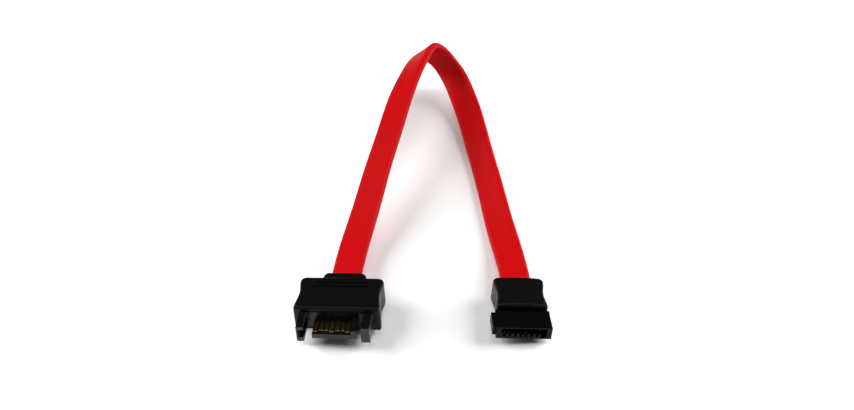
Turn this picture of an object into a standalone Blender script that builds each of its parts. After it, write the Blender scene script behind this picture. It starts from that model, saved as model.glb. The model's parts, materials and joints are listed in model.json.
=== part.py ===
"""A short flat extension lead for a serial disk drive, lying as an arch on a table.

A seven-contact plug and a seven-contact receptacle are moulded on the ends of a flat red cable.
The cable rolls over by half a turn on its way, so the plug lies upright and the receptacle
lies upside down. X runs from the plug to the receptacle, +Y points to the arch, +Z is up, and
the origin is on the table, midway between the two ends.
"""

import math

import bmesh
import bpy
from mathutils import Euler, Matrix, Vector

MM = 0.001

# Contacts, common to both ends
CONTACT_COUNT = 7
CONTACT_PITCH = 1.27 * MM
GROUND_CONTACTS = (1, 4, 7)
FIT_GAP = 0.05 * MM
MATING_GAP = 0.12 * MM
TABLE_GAP = 0.01 * MM

# Plug: contacts
BLADE_WIDTH = 0.84 * MM
BLADE_THICKNESS = 0.25 * MM
BLADE_PROUD = 0.06 * MM
BLADE_SETBACK_GROUND = 0.85 * MM
BLADE_SETBACK_SIGNAL = 1.25 * MM
BLADE_TAIL = 1.9 * MM

# Plug: contact carrier
TONGUE_MARGIN = 0.22 * MM
TONGUE_THICKNESS = 1.23 * MM
TONGUE_LIFT = 0.73 * MM
TONGUE_LENGTH = 4.9 * MM
KEY_GAP = 0.52 * MM
KEY_WIDTH = 1.2 * MM
KEY_RISE = 1.1 * MM
CARRIER_HEIGHT = 4.25 * MM
CARRIER_DEPTH_INSIDE = 2.6 * MM
CARRIER_FACE_AHEAD = 0.2 * MM
ARM_LENGTH = 5.3 * MM
ARM_SETBACK = 0.05 * MM
LEFT_ARM_GAP = 1.85 * MM
LEFT_ARM_WIDTH = 1.65 * MM
RIGHT_ARM_INSET = 0.3 * MM
RIGHT_ARM_WIDTH = 2.05 * MM
NOTCH_HEIGHT = 2.2 * MM
NOTCH_DEPTH = 1.25 * MM
NOTCH_ABOVE_TONGUE = 0.5 * MM

# Plug: moulded hood
HOOD_LENGTH = 11.4 * MM
HOOD_FLOOR = 1.2 * MM
HOOD_ROOF = 1.15 * MM
HOOD_SIDE_WALL = 1.4 * MM
HOOD_WAIST_INSET = 0.62 * MM
HOOD_WAIST_PLACE = 6.0 * MM
HOOD_REAR_INSET = 0.2 * MM
HOOD_CORNER_RADIUS = 1.5 * MM
HOOD_EDGE_RADIUS = 0.6 * MM
COLLAR_LENGTH = 3.7 * MM
COLLAR_BASE_WIDTH = 11.7 * MM
COLLAR_TIP_WIDTH = 10.6 * MM
COLLAR_HEIGHT = 4.2 * MM
COLLAR_CORNER_RADIUS = 1.7 * MM
COLLAR_EDGE_RADIUS = 1.2 * MM
RIB_COUNT = 3
RIB_PITCH = 1.35 * MM
RIB_WIDTH = 0.5 * MM
RIB_DEPTH = 0.25 * MM
RIB_SPAN = 11.0 * MM
RIB_SPREAD = 1.3 * MM
RIB_INSET = 0.75 * MM

# Receptacle: contacts
SPRING_WIDTH = 0.58 * MM
SPRING_THICKNESS = 0.16 * MM
SPRING_GROOVE_DEPTH = 0.85 * MM
SPRING_BUMP = 0.2 * MM
SPRING_BUMP_SETBACK = 2.1 * MM
SPRING_TIP_SETBACK = 0.9 * MM
SPRING_LEG = 1.5 * MM
SPRING_TAIL = 1.6 * MM

# Receptacle: contact carrier, seen with its key leg pointing down
NOSE_LENGTH = 6.2 * MM
NOSE_BOTTOM = 1.3 * MM
NOSE_WALL = 1.03 * MM
NOSE_SOLE = 0.35 * MM
NOSE_FLARE = 0.13 * MM
NOSE_EDGE_RADIUS = 0.25 * MM
SLOT_ROOF = 0.33 * MM
SLOT_END_WALL = 0.3 * MM
NECK_STEP = 1.2 * MM
NECK_LENGTH = 3.0 * MM
NECK_INSET = 0.15 * MM
RAIL_WIDTH = 0.9 * MM
RAIL_HEIGHT = 2.5 * MM
RAIL_RISE = 0.05 * MM
RAIL_SETBACK = 1.2 * MM

# Receptacle: moulded grip
GRIP_LENGTH = 10.3 * MM
GRIP_HEIGHT = 6.3 * MM
GRIP_STEP = 0.48 * MM
GRIP_WAIST_INSET = 0.33 * MM
GRIP_WAIST_PLACE = 4.6 * MM
GRIP_REAR_SPREAD = 0.18 * MM
GRIP_CORNER_RADIUS = 1.1 * MM
GRIP_CROWN = 0.4 * MM
GRIP_EDGE_RADIUS = 0.6 * MM

# Flat cable
CABLE_WIDTH = 7.3 * MM
CABLE_THICKNESS = 2.0 * MM
CABLE_INSIDE_PLUG = 6.0 * MM
CABLE_INSIDE_GRIP = 3.2 * MM
CHANNEL_WIDTH = 2.8 * MM
CHANNEL_HEIGHT = 1.1 * MM
PAIR_PITCH = 3.5 * MM
CORE_DIAMETER = 0.86 * MM
CORE_PITCH = 0.94 * MM
DRAIN_DIAMETER = 0.32 * MM
DRAIN_PITCH = 2.26 * MM
DRAIN_PAIR_GAP = 0.42 * MM
WIRE_GAP = 0.08 * MM
WIRE_ROOM = 0.15 * MM

# Each pair of the cable: its name, its side, its two signal contacts and its outer and inner
# ground contacts
PAIRS = (
    ("a", -1, (2, 3), (1, 4)),
    ("b", 1, (5, 6), (7, 4)),
)

# Places of the two ends on the table, and how far each is turned (about Z) and rolled (about Y)
LAYOUT_CENTRE = Vector((21.01, 8.05, 0.0)) * MM
PLUG_PLACE = Vector((1.35, 3.5, 0.0)) * MM
PLUG_TURN = -5.8
PLUG_ROLL = -3.4
RECEPTACLE_PLACE = Vector((43.9, 5.45, 0.0)) * MM
RECEPTACLE_TURN = 3.6
RECEPTACLE_ROLL = 4.8

# The cable's way from the plug's collar to the receptacle's grip: x, y, z in millimetres, and the
# angle in degrees by which it has rolled over
CABLE_ROUTE = (
    (4.1, 30.3, 4.0, 3),
    (6.5, 41.9, 6.2, 8),
    (9.3, 55.3, 9.7, 15),
    (12.4, 68.8, 12.9, 18),
    (15.2, 81.4, 15.4, 21),
    (18.1, 92.1, 16.6, 29),
    (20.4, 99.8, 16.4, 36),
    (23.0, 105.0, 15.0, 56),
    (25.5, 106.2, 12.5, 78),
    (28.0, 105.4, 9.5, 110),
    (30.1, 103.0, 7.1, 136),
    (31.6, 99.8, 5.2, 153),
    (32.7, 96.2, 4.0, 159),
    (33.8, 91.4, 3.2, 157),
    (34.9, 84.5, 2.8, 151),
    (36.6, 72.0, 2.6, 144),
    (38.9, 54.7, 2.5, 147),
    (40.4, 42.7, 2.2, 155),
    (42.1, 30.9, 2.3, 170),
)
STEPS_PER_SPAN = 2
END_SIDES = 6
CHANNEL_SIDES = 4
CORE_SIDES = 6
DRAIN_SIDES = 5

# Values worked out from the sizes above
ROW_WIDTH = (CONTACT_COUNT - 1) * CONTACT_PITCH + BLADE_WIDTH
CONTACT_SHIFT = (TONGUE_MARGIN - KEY_GAP - KEY_WIDTH) / 2
TONGUE_WIDTH = TONGUE_MARGIN + ROW_WIDTH + KEY_GAP + KEY_WIDTH
TONGUE_BOTTOM = HOOD_FLOOR + TONGUE_LIFT
TONGUE_TOP = TONGUE_BOTTOM + TONGUE_THICKNESS
CARRIER_BOTTOM = HOOD_FLOOR + FIT_GAP
CARRIER_TOP = CARRIER_BOTTOM + CARRIER_HEIGHT
CARRIER_HALF = TONGUE_WIDTH / 2 + LEFT_ARM_GAP + LEFT_ARM_WIDTH + ARM_SETBACK
HOOD_HEIGHT = CARRIER_TOP + FIT_GAP + HOOD_ROOF
HOOD_HALF = CARRIER_HALF + FIT_GAP + HOOD_SIDE_WALL
CHAMBER_HALF = ROW_WIDTH / 2 + abs(CONTACT_SHIFT) + WIRE_ROOM
BLADE_TOP = TONGUE_TOP + BLADE_PROUD
BLADE_BOTTOM = BLADE_TOP - BLADE_THICKNESS
BLADE_MIDDLE = (BLADE_TOP + BLADE_BOTTOM) / 2
BLADE_END = CARRIER_DEPTH_INSIDE + BLADE_TAIL
PLUG_CABLE_LEVEL = HOOD_HEIGHT / 2
PLUG_CABLE_END = HOOD_LENGTH + COLLAR_LENGTH - CABLE_INSIDE_PLUG
SLOT_WIDTH = TONGUE_WIDTH + 2 * MATING_GAP
SLOT_HEIGHT = TONGUE_THICKNESS + 2 * MATING_GAP
KEYWAY_WIDTH = KEY_WIDTH + MATING_GAP
KEYWAY_DEPTH = KEY_RISE
NOSE_THICKNESS = SLOT_ROOF + SLOT_HEIGHT + KEYWAY_DEPTH + NOSE_SOLE
NOSE_REAR_WIDTH = SLOT_WIDTH + 2 * NOSE_WALL
NOSE_FRONT_WIDTH = NOSE_REAR_WIDTH + 2 * NOSE_FLARE
NOSE_TOP = NOSE_BOTTOM + NOSE_THICKNESS
NECK_WIDTH = NOSE_REAR_WIDTH - 2 * NECK_STEP
SLOT_TOP = NOSE_TOP - SLOT_ROOF
SLOT_BOTTOM = SLOT_TOP - SLOT_HEIGHT
GROOVE_BOTTOM = SLOT_BOTTOM - SPRING_GROOVE_DEPTH
SPRING_LEVEL = GROOVE_BOTTOM + FIT_GAP + SPRING_THICKNESS / 2
SPRING_END = NECK_LENGTH + SPRING_TAIL
GRIP_HALF = NOSE_REAR_WIDTH / 2 - GRIP_STEP
GRIP_REAR_HALF = GRIP_HALF + GRIP_REAR_SPREAD
GRIP_CABLE_LEVEL = GRIP_HEIGHT / 2
GRIP_CABLE_END = GRIP_LENGTH - CABLE_INSIDE_GRIP


def clear_scene():
    """Remove every object of the open scene."""
    for obj in list(bpy.data.objects):
        bpy.data.objects.remove(obj, do_unlink=True)


def new_collection(name):
    """A collection of this name under the scene's own."""
    collection = bpy.data.collections.new(name)
    bpy.context.scene.collection.children.link(collection)
    return collection


def new_material(name, colour, roughness, metallic=0.0):
    """A Principled material of one colour."""
    material = bpy.data.materials.new(name)
    material.use_nodes = True
    shader = material.node_tree.nodes["Principled BSDF"]
    shader.inputs["Base Color"].default_value = (*colour, 1.0)
    shader.inputs["Roughness"].default_value = roughness
    shader.inputs["Metallic"].default_value = metallic
    return material


def new_object(name, mesh, collection, parent=None, material=None):
    """An object for a mesh, in a collection and under a parent."""
    obj = bpy.data.objects.new(name, mesh)
    collection.objects.link(obj)
    obj.parent = parent
    if material:
        mesh.materials.append(material)
    return obj


def mesh_from(bm, name):
    """A mesh from a bmesh, with its faces turned outwards."""
    bmesh.ops.recalc_face_normals(bm, faces=bm.faces[:])
    mesh = bpy.data.meshes.new(name)
    bm.to_mesh(mesh)
    bm.free()
    return mesh


def block(name, low, high, collection, parent, material=None):
    """A box between two corners, given in the parent's frame."""
    low, high = Vector(low), Vector(high)
    bm = bmesh.new()
    bmesh.ops.create_cube(bm, size=1.0)
    bmesh.ops.scale(bm, vec=high - low, verts=bm.verts[:])
    obj = new_object(name, mesh_from(bm, name), collection, parent, material)
    obj.location = (low + high) / 2
    return obj


def flat_outline(name, points, thickness, collection, parent, material=None):
    """A plate of an outline in its own XY plane, centred on it, as a welded mesh."""
    curve = bpy.data.curves.new(name, "CURVE")
    curve.dimensions = "2D"
    curve.fill_mode = "BOTH"
    curve.extrude = thickness / 2
    spline = curve.splines.new("POLY")
    spline.points.add(len(points) - 1)
    for point, (x, y) in zip(spline.points, points):
        point.co = (x, y, 0.0, 1.0)
    spline.use_cyclic_u = True
    drawn = bpy.data.objects.new(name + "_outline", curve)
    bpy.context.scene.collection.objects.link(drawn)
    bpy.context.view_layer.update()
    graph = bpy.context.evaluated_depsgraph_get()
    mesh = bpy.data.meshes.new_from_object(drawn.evaluated_get(graph))
    bpy.data.objects.remove(drawn, do_unlink=True)
    mesh.name = name
    bm = bmesh.new()
    bm.from_mesh(mesh)
    bmesh.ops.remove_doubles(bm, verts=bm.verts[:], dist=0.001 * MM)
    bmesh.ops.dissolve_limit(
        bm, angle_limit=math.radians(0.1), verts=bm.verts[:], edges=bm.edges[:]
    )
    bmesh.ops.recalc_face_normals(bm, faces=bm.faces[:])
    bm.to_mesh(mesh)
    bm.free()
    mesh.materials.clear()
    return new_object(name, mesh, collection, parent, material)


def arc(centre, radius, start, end, steps):
    """Points along an arc, from one angle in degrees to another."""
    found = []
    for step in range(steps + 1):
        angle = math.radians(start + (end - start) * step / steps)
        found.append((centre[0] + radius * math.cos(angle), centre[1] + radius * math.sin(angle)))
    return found


def round_edges(obj, radius, segments):
    """Round the sharp edges of an object."""
    bevel = obj.modifiers.new("rounded_edges", "BEVEL")
    bevel.width = radius
    bevel.segments = segments
    bevel.limit_method = "ANGLE"
    bevel.angle_limit = math.radians(50)
    bevel.use_clamp_overlap = True


def combine(obj, other, operation):
    """Join a helper to an object, or cut it out."""
    boolean = obj.modifiers.new(other.name, "BOOLEAN")
    boolean.operation = operation
    boolean.solver = "EXACT"
    boolean.object = other
    other.hide_render = True
    other.display_type = "WIRE"


def contact_offset(number):
    """The place of a contact across its connector, from the centre plane."""
    return CONTACT_SHIFT + (number - (CONTACT_COUNT + 1) / 2) * CONTACT_PITCH


def connector_frame(place, turn, roll, half_width, edge_radius):
    """The frame of a connector that rests on the table with one rounded lower edge."""
    lean = math.radians(abs(roll))
    rise = (half_width - edge_radius) * math.sin(lean) + edge_radius * (1 - math.cos(lean))
    rotation = Euler((0.0, math.radians(roll), math.radians(turn))).to_matrix().to_4x4()
    resting = place - LAYOUT_CENTRE + Vector((0.0, 0.0, rise + TABLE_GAP))
    return Matrix.Translation(resting) @ rotation


def connector_empty(name, frame, collection):
    """An empty that carries the pieces of a connector."""
    empty = bpy.data.objects.new(name, None)
    empty.empty_display_size = 5 * MM
    collection.objects.link(empty)
    empty.matrix_world = frame
    return empty


def stadium(width, height, sides, shift=0.0):
    """The outline of a bar with round ends, as points across and up."""
    radius = height / 2
    reach = width / 2 - radius
    right = arc((shift + reach, 0.0), radius, -90, 90, sides)
    left = arc((shift - reach, 0.0), radius, 90, 270, sides)
    return right + left


def sweep(name, loops, frames, collection, material, parent=None):
    """A solid of a section, which may have holes, carried along a row of frames."""
    bm = bmesh.new()
    edges = []
    for loop in loops:
        verts = [bm.verts.new(frames[0] @ Vector((across, up, 0.0))) for across, up in loop]
        edges += [bm.edges.new((a, b)) for a, b in zip(verts, verts[1:] + verts[:1])]
    bmesh.ops.triangle_fill(bm, use_beauty=True, use_dissolve=False, edges=edges)
    region = bm.verts[:] + bm.edges[:] + bm.faces[:]
    for index in range(1, len(frames)):
        grown = bmesh.ops.extrude_face_region(bm, geom=region, use_keep_orig=index == 1)
        region = grown["geom"]
        moved = [item for item in region if isinstance(item, bmesh.types.BMVert)]
        step = frames[index] @ frames[index - 1].inverted()
        bmesh.ops.transform(bm, matrix=step, verts=moved)
    obj = new_object(name, mesh_from(bm, name), collection, parent, material)
    obj.data.shade_smooth()
    obj.data.set_sharp_from_angle(angle=math.radians(50))
    return obj


def waisted_outline(front, waist, rear, waist_place, length, corner_radius):
    """The plan of a moulding: half its width at the front, at the waist and at the round rear."""
    right = []
    for start, end, low, high in (
        (front, waist, 0.0, waist_place),
        (waist, rear, waist_place, length - corner_radius),
    ):
        for step in range(7):
            share = step / 7
            ease = share * share * (3 - 2 * share)
            right.append((start + (end - start) * ease, low + (high - low) * share))
    corner = (rear - corner_radius, length - corner_radius)
    right += arc(corner, corner_radius, 0, 90, 5)
    return right + [(-x, y) for x, y in reversed(right)]


def hood_outline():
    """The plan of the plug's hood."""
    waist, rear = HOOD_HALF - HOOD_WAIST_INSET, HOOD_HALF - HOOD_REAR_INSET
    return waisted_outline(
        HOOD_HALF, waist, rear, HOOD_WAIST_PLACE, HOOD_LENGTH, HOOD_CORNER_RADIUS
    )


def collar_outline():
    """The plan of the strain relief collar behind the hood."""
    root = HOOD_LENGTH - HOOD_EDGE_RADIUS * 2
    tip = HOOD_LENGTH + COLLAR_LENGTH
    corner = (COLLAR_TIP_WIDTH / 2 - COLLAR_CORNER_RADIUS, tip - COLLAR_CORNER_RADIUS)
    right = [(COLLAR_BASE_WIDTH / 2, root), (COLLAR_BASE_WIDTH / 2, HOOD_LENGTH)]
    right += arc(corner, COLLAR_CORNER_RADIUS, 0, 90, 4)
    return right + [(-x, y) for x, y in reversed(right)]


def cable_passage(name, rear, front, level, parent, helpers):
    """A cutter for the hole that the flat cable passes through."""
    loops = [stadium(CABLE_WIDTH + 2 * FIT_GAP, CABLE_THICKNESS + 2 * FIT_GAP, END_SIDES)]
    turned = Matrix(((1, 0, 0), (0, 0, 1), (0, -1, 0))).to_4x4()
    frames = [Matrix.Translation((0.0, y, level)) @ turned for y in (front, rear)]
    return sweep(name, loops, frames, helpers, None, parent)


def build_hood(parts, helpers, parent, material):
    """The plug's moulded hood, with its collar, its grip grooves and its hollow."""
    hood = flat_outline("plug_hood", hood_outline(), HOOD_HEIGHT, parts, parent, material)
    hood.location.z = HOOD_HEIGHT / 2
    round_edges(hood, HOOD_EDGE_RADIUS, 3)

    collar = flat_outline("collar_form", collar_outline(), COLLAR_HEIGHT, helpers, parent)
    collar.location.z = PLUG_CABLE_LEVEL
    round_edges(collar, COLLAR_EDGE_RADIUS, 3)
    combine(hood, collar, "UNION")

    for number in range(RIB_COUNT):
        y = HOOD_LENGTH - RIB_INSET - number * RIB_PITCH
        half = (RIB_SPAN + number * RIB_SPREAD) / 2
        low = (-half, y - RIB_WIDTH / 2, HOOD_HEIGHT - RIB_DEPTH)
        high = (half, y + RIB_WIDTH / 2, HOOD_HEIGHT + RIB_DEPTH)
        combine(hood, block(f"grip_groove_{number + 1}", low, high, helpers, parent), "DIFFERENCE")

    mouth_half = CARRIER_HALF + FIT_GAP
    mouth_end = CARRIER_DEPTH_INSIDE + FIT_GAP
    low = (-mouth_half, -HOOD_ROOF, HOOD_FLOOR)
    high = (mouth_half, mouth_end, HOOD_HEIGHT - HOOD_ROOF)
    combine(hood, block("hood_mouth", low, high, helpers, parent), "DIFFERENCE")

    low = (-CHAMBER_HALF, mouth_end - HOOD_ROOF / 2, TONGUE_BOTTOM)
    high = (CHAMBER_HALF, PLUG_CABLE_END, PLUG_CABLE_LEVEL + CABLE_THICKNESS / 2)
    combine(hood, block("hood_chamber", low, high, helpers, parent), "DIFFERENCE")

    rear = HOOD_LENGTH + COLLAR_LENGTH + CABLE_THICKNESS
    passage = cable_passage(
        "hood_cable_passage", rear, PLUG_CABLE_END - FIT_GAP, PLUG_CABLE_LEVEL, parent, helpers
    )
    combine(hood, passage, "DIFFERENCE")
    return hood


def build_plug_carrier(parts, helpers, parent, material):
    """The plug's contact carrier: a flange with two guide arms, the tongue and its key."""
    face = -CARRIER_FACE_AHEAD
    root = CARRIER_DEPTH_INSIDE / 2
    arm_front = face - ARM_LENGTH
    arm_outer = CARRIER_HALF - ARM_SETBACK
    right_outer = arm_outer - RIGHT_ARM_INSET
    low = (-CARRIER_HALF, face, CARRIER_BOTTOM)
    high = (CARRIER_HALF, CARRIER_DEPTH_INSIDE, CARRIER_TOP)
    carrier = block("plug_carrier", low, high, parts, parent, material)

    inset = ARM_SETBACK
    arms = (
        ("left_arm", -arm_outer, -arm_outer + LEFT_ARM_WIDTH),
        ("right_arm", right_outer - RIGHT_ARM_WIDTH, right_outer),
    )
    for name, left, right in arms:
        low = (left, arm_front, CARRIER_BOTTOM + inset)
        high = (right, root, CARRIER_TOP - inset)
        combine(carrier, block(name, low, high, helpers, parent), "UNION")

    half = TONGUE_WIDTH / 2
    low = (-half, face - TONGUE_LENGTH, TONGUE_BOTTOM)
    high = (half, root, TONGUE_TOP)
    combine(carrier, block("tongue", low, high, helpers, parent), "UNION")
    low = (half - KEY_WIDTH, face - TONGUE_LENGTH, TONGUE_BOTTOM)
    high = (half, root, TONGUE_TOP + KEY_RISE)
    combine(carrier, block("tongue_key", low, high, helpers, parent), "UNION")

    notch_bottom = TONGUE_BOTTOM + NOTCH_ABOVE_TONGUE
    inner = -arm_outer + LEFT_ARM_WIDTH
    low = (inner - NOTCH_DEPTH, arm_front - inset, notch_bottom)
    high = (inner + NOTCH_DEPTH, face - inset, notch_bottom + NOTCH_HEIGHT)
    combine(carrier, block("arm_notch", low, high, helpers, parent), "DIFFERENCE")

    for number in range(1, CONTACT_COUNT + 1):
        reach = BLADE_WIDTH / 2 + FIT_GAP
        x = contact_offset(number)
        low = (x - reach, blade_front(number) - FIT_GAP, BLADE_BOTTOM - FIT_GAP)
        high = (x + reach, CARRIER_DEPTH_INSIDE + BLADE_TAIL, BLADE_TOP + FIT_GAP)
        combine(carrier, block(f"blade_slot_{number}", low, high, helpers, parent), "DIFFERENCE")
    return carrier


def blade_front(number):
    """The front end of a plug contact: the ground contacts reach further forward."""
    setback = BLADE_SETBACK_GROUND if number in GROUND_CONTACTS else BLADE_SETBACK_SIGNAL
    return -CARRIER_FACE_AHEAD - TONGUE_LENGTH + setback


def build_plug_contacts(parts, parent, material):
    """The plug's flat contact blades on top of the tongue."""
    for number in range(1, CONTACT_COUNT + 1):
        x = contact_offset(number)
        low = (x - BLADE_WIDTH / 2, blade_front(number), BLADE_BOTTOM)
        high = (x + BLADE_WIDTH / 2, BLADE_END, BLADE_TOP)
        blade = block(f"plug_contact_{number}", low, high, parts, parent, material)
        round_edges(blade, BLADE_PROUD / 2, 1)


def grip_section():
    """The section of the receptacle's grip: a box with a crowned top."""
    half = GRIP_REAR_HALF + GRIP_REAR_SPREAD
    radius = (half * half + GRIP_CROWN * GRIP_CROWN) / (2 * GRIP_CROWN)
    lean = math.degrees(math.asin(half / radius))
    top = arc((0.0, GRIP_HEIGHT - radius), radius, 90 - lean, 90 + lean, 8)
    return [(-half, 0.0), (half, 0.0)] + top


def build_grip(parts, helpers, parent, material):
    """The receptacle's moulded grip, hollow for the carrier's neck and the wires."""
    waist = GRIP_HALF - GRIP_WAIST_INSET
    plan = waisted_outline(
        GRIP_HALF, waist, GRIP_REAR_HALF, GRIP_WAIST_PLACE, GRIP_LENGTH, GRIP_CORNER_RADIUS
    )
    grip = flat_outline("receptacle_grip", plan, GRIP_HEIGHT * 2, parts, parent, material)
    grip.location.z = GRIP_HEIGHT / 2
    section = flat_outline("grip_crown", grip_section(), GRIP_LENGTH * 2, helpers, parent)
    section.rotation_euler = (math.radians(90), 0.0, 0.0)
    section.location.y = GRIP_LENGTH / 2
    combine(grip, section, "INTERSECT")
    round_edges(grip, GRIP_EDGE_RADIUS, 3)

    half = NECK_WIDTH / 2 + FIT_GAP
    low = (-half, -GRIP_EDGE_RADIUS, NOSE_BOTTOM + NECK_INSET - FIT_GAP)
    high = (half, NECK_LENGTH + FIT_GAP, NOSE_TOP - NECK_INSET + FIT_GAP)
    combine(grip, block("grip_mouth", low, high, helpers, parent), "DIFFERENCE")

    low = (-CHAMBER_HALF, NECK_LENGTH - NECK_INSET, GROOVE_BOTTOM - SPRING_THICKNESS)
    high = (CHAMBER_HALF, GRIP_CABLE_END, GRIP_CABLE_LEVEL + CABLE_THICKNESS / 2)
    combine(grip, block("grip_chamber", low, high, helpers, parent), "DIFFERENCE")

    rear = GRIP_LENGTH + CABLE_THICKNESS
    passage = cable_passage(
        "grip_cable_passage", rear, GRIP_CABLE_END - FIT_GAP, GRIP_CABLE_LEVEL, parent, helpers
    )
    combine(grip, passage, "DIFFERENCE")
    return grip


def build_nose(parts, helpers, parent, material):
    """The receptacle's contact carrier: a flared nose with an angled slot, a rail and a neck."""
    low = (-NOSE_REAR_WIDTH / 2, -NOSE_LENGTH, NOSE_BOTTOM)
    high = (NOSE_REAR_WIDTH / 2, -FIT_GAP, NOSE_TOP)
    nose = block("receptacle_carrier", low, high, parts, parent, material)
    for vert in nose.data.vertices:
        if vert.co.y < 0:
            vert.co.x *= NOSE_FRONT_WIDTH / NOSE_REAR_WIDTH
    round_edges(nose, NOSE_EDGE_RADIUS, 2)

    low = (-NECK_WIDTH / 2, -NECK_LENGTH / 2, NOSE_BOTTOM + NECK_INSET)
    high = (NECK_WIDTH / 2, NECK_LENGTH, NOSE_TOP - NECK_INSET)
    combine(nose, block("nose_neck", low, high, helpers, parent), "UNION")

    rail_bottom = NOSE_BOTTOM + RAIL_RISE
    low = (-NOSE_REAR_WIDTH / 2 - RAIL_WIDTH, -NOSE_LENGTH + RAIL_SETBACK, rail_bottom)
    high = (-NOSE_REAR_WIDTH / 2 + RAIL_WIDTH / 2, -FIT_GAP * 2, rail_bottom + RAIL_HEIGHT)
    combine(nose, block("nose_rail", low, high, helpers, parent), "UNION")

    front = -NOSE_LENGTH - NOSE_EDGE_RADIUS
    slot_end = -SLOT_END_WALL
    low = (-SLOT_WIDTH / 2, front, SLOT_BOTTOM)
    high = (SLOT_WIDTH / 2, slot_end, SLOT_TOP)
    combine(nose, block("nose_slot", low, high, helpers, parent), "DIFFERENCE")
    low = (SLOT_WIDTH / 2 - KEYWAY_WIDTH, front, SLOT_BOTTOM - KEYWAY_DEPTH)
    high = (SLOT_WIDTH / 2, slot_end, SLOT_TOP)
    combine(nose, block("nose_keyway", low, high, helpers, parent), "DIFFERENCE")

    for number in range(1, CONTACT_COUNT + 1):
        reach = SPRING_WIDTH / 2 + FIT_GAP
        x = contact_offset(number)
        low = (x - reach, front, GROOVE_BOTTOM)
        high = (x + reach, NECK_LENGTH + SPRING_TAIL, SLOT_BOTTOM + FIT_GAP)
        combine(nose, block(f"spring_groove_{number}", low, high, helpers, parent), "DIFFERENCE")
    return nose


def spring_outline():
    """The side view of a receptacle contact: a straight leg that rises to a bump at its front."""
    tip = -NOSE_LENGTH + SPRING_TIP_SETBACK
    crest = -NOSE_LENGTH + SPRING_BUMP_SETBACK
    knee = crest + SPRING_LEG
    top = SLOT_BOTTOM + SPRING_BUMP - SPRING_THICKNESS / 2
    middle = [(SPRING_END, SPRING_LEVEL), (knee, SPRING_LEVEL), (crest, top)]
    middle += [(tip, SPRING_LEVEL + SPRING_THICKNESS)]
    reach = SPRING_THICKNESS / 2
    upper = [(y, z + reach) for y, z in middle]
    lower = [(y, z - reach) for y, z in reversed(middle)]
    return upper + lower


def build_receptacle_contacts(parts, parent, material):
    """The receptacle's spring contacts, one in each groove below the slot."""
    for number in range(1, CONTACT_COUNT + 1):
        name = f"receptacle_contact_{number}"
        spring = flat_outline(name, spring_outline(), SPRING_WIDTH, parts, parent, material)
        spring.rotation_euler = (math.radians(90), 0.0, math.radians(90))
        spring.location.x = contact_offset(number)


def smooth_route(places):
    """Points on a smooth curve through the places, each of four numbers, two steps a span."""
    knots = [0.0]
    for here, there in zip(places, places[1:]):
        knots.append(knots[-1] + (there - here).to_3d().length)
    slopes = []
    for index in range(len(places)):
        before = max(index - 1, 0)
        after = min(index + 1, len(places) - 1)
        slopes.append((places[after] - places[before]) / (knots[after] - knots[before]))
    points, headings = [], []
    for index in range(len(places) - 1):
        span = knots[index + 1] - knots[index]
        last = index == len(places) - 2
        for step in range(STEPS_PER_SPAN + (1 if last else 0)):
            t = step / STEPS_PER_SPAN
            start, end = places[index], places[index + 1]
            lead, trail = slopes[index] * span, slopes[index + 1] * span
            points.append(
                start * (2 * t**3 - 3 * t**2 + 1)
                + lead * (t**3 - 2 * t**2 + t)
                + end * (3 * t**2 - 2 * t**3)
                + trail * (t**3 - t**2)
            )
            headings.append(
                (start - end) * (6 * t**2 - 6 * t)
                + lead * (3 * t**2 - 4 * t + 1)
                + trail * (3 * t**2 - 2 * t)
            )
    return points, headings


def cable_frames(plug_frame, receptacle_frame):
    """Frames along the cable: X across it, Z along it, from the plug to the receptacle."""
    plug_ends = (PLUG_CABLE_END, HOOD_LENGTH + COLLAR_LENGTH)
    grip_ends = (GRIP_LENGTH, GRIP_CABLE_END)
    places = []
    for y in plug_ends:
        place = plug_frame @ Vector((0.0, y, PLUG_CABLE_LEVEL))
        places.append(Vector((*place, math.radians(-PLUG_ROLL))))
    for x, y, z, roll in CABLE_ROUTE:
        place = Vector((x, y, z)) * MM - LAYOUT_CENTRE
        places.append(Vector((*place, math.radians(roll))))
    for y in grip_ends:
        place = receptacle_frame @ Vector((0.0, y, GRIP_CABLE_LEVEL))
        places.append(Vector((*place, math.radians(180 + RECEPTACLE_ROLL))))
    points, headings = smooth_route(places)
    up = Vector((0.0, 0.0, 1.0))
    frames = []
    for point, heading in zip(points, headings):
        along = heading.to_3d().normalized()
        level = along.cross(up).normalized()
        across = level * math.cos(point.w) + level.cross(along) * math.sin(point.w)
        axes = Matrix((across, along.cross(across), along)).transposed()
        frames.append(Matrix.Translation(point.to_3d()) @ axes.to_4x4())
    return frames


def wire_stops(connector, turned, wires, tail_y, tail_z, cable_y, cable_z):
    """Frames of a wire between its contact's tail and the end of the cable's jacket."""
    start, end = wires
    middle_y = (tail_y + cable_y) / 2
    stops = [(end, tail_y, tail_z), ((start + end) / 2, middle_y, (tail_z + cable_z) / 2)]
    return [connector @ Matrix.Translation(stop) @ turned for stop in stops]


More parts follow.
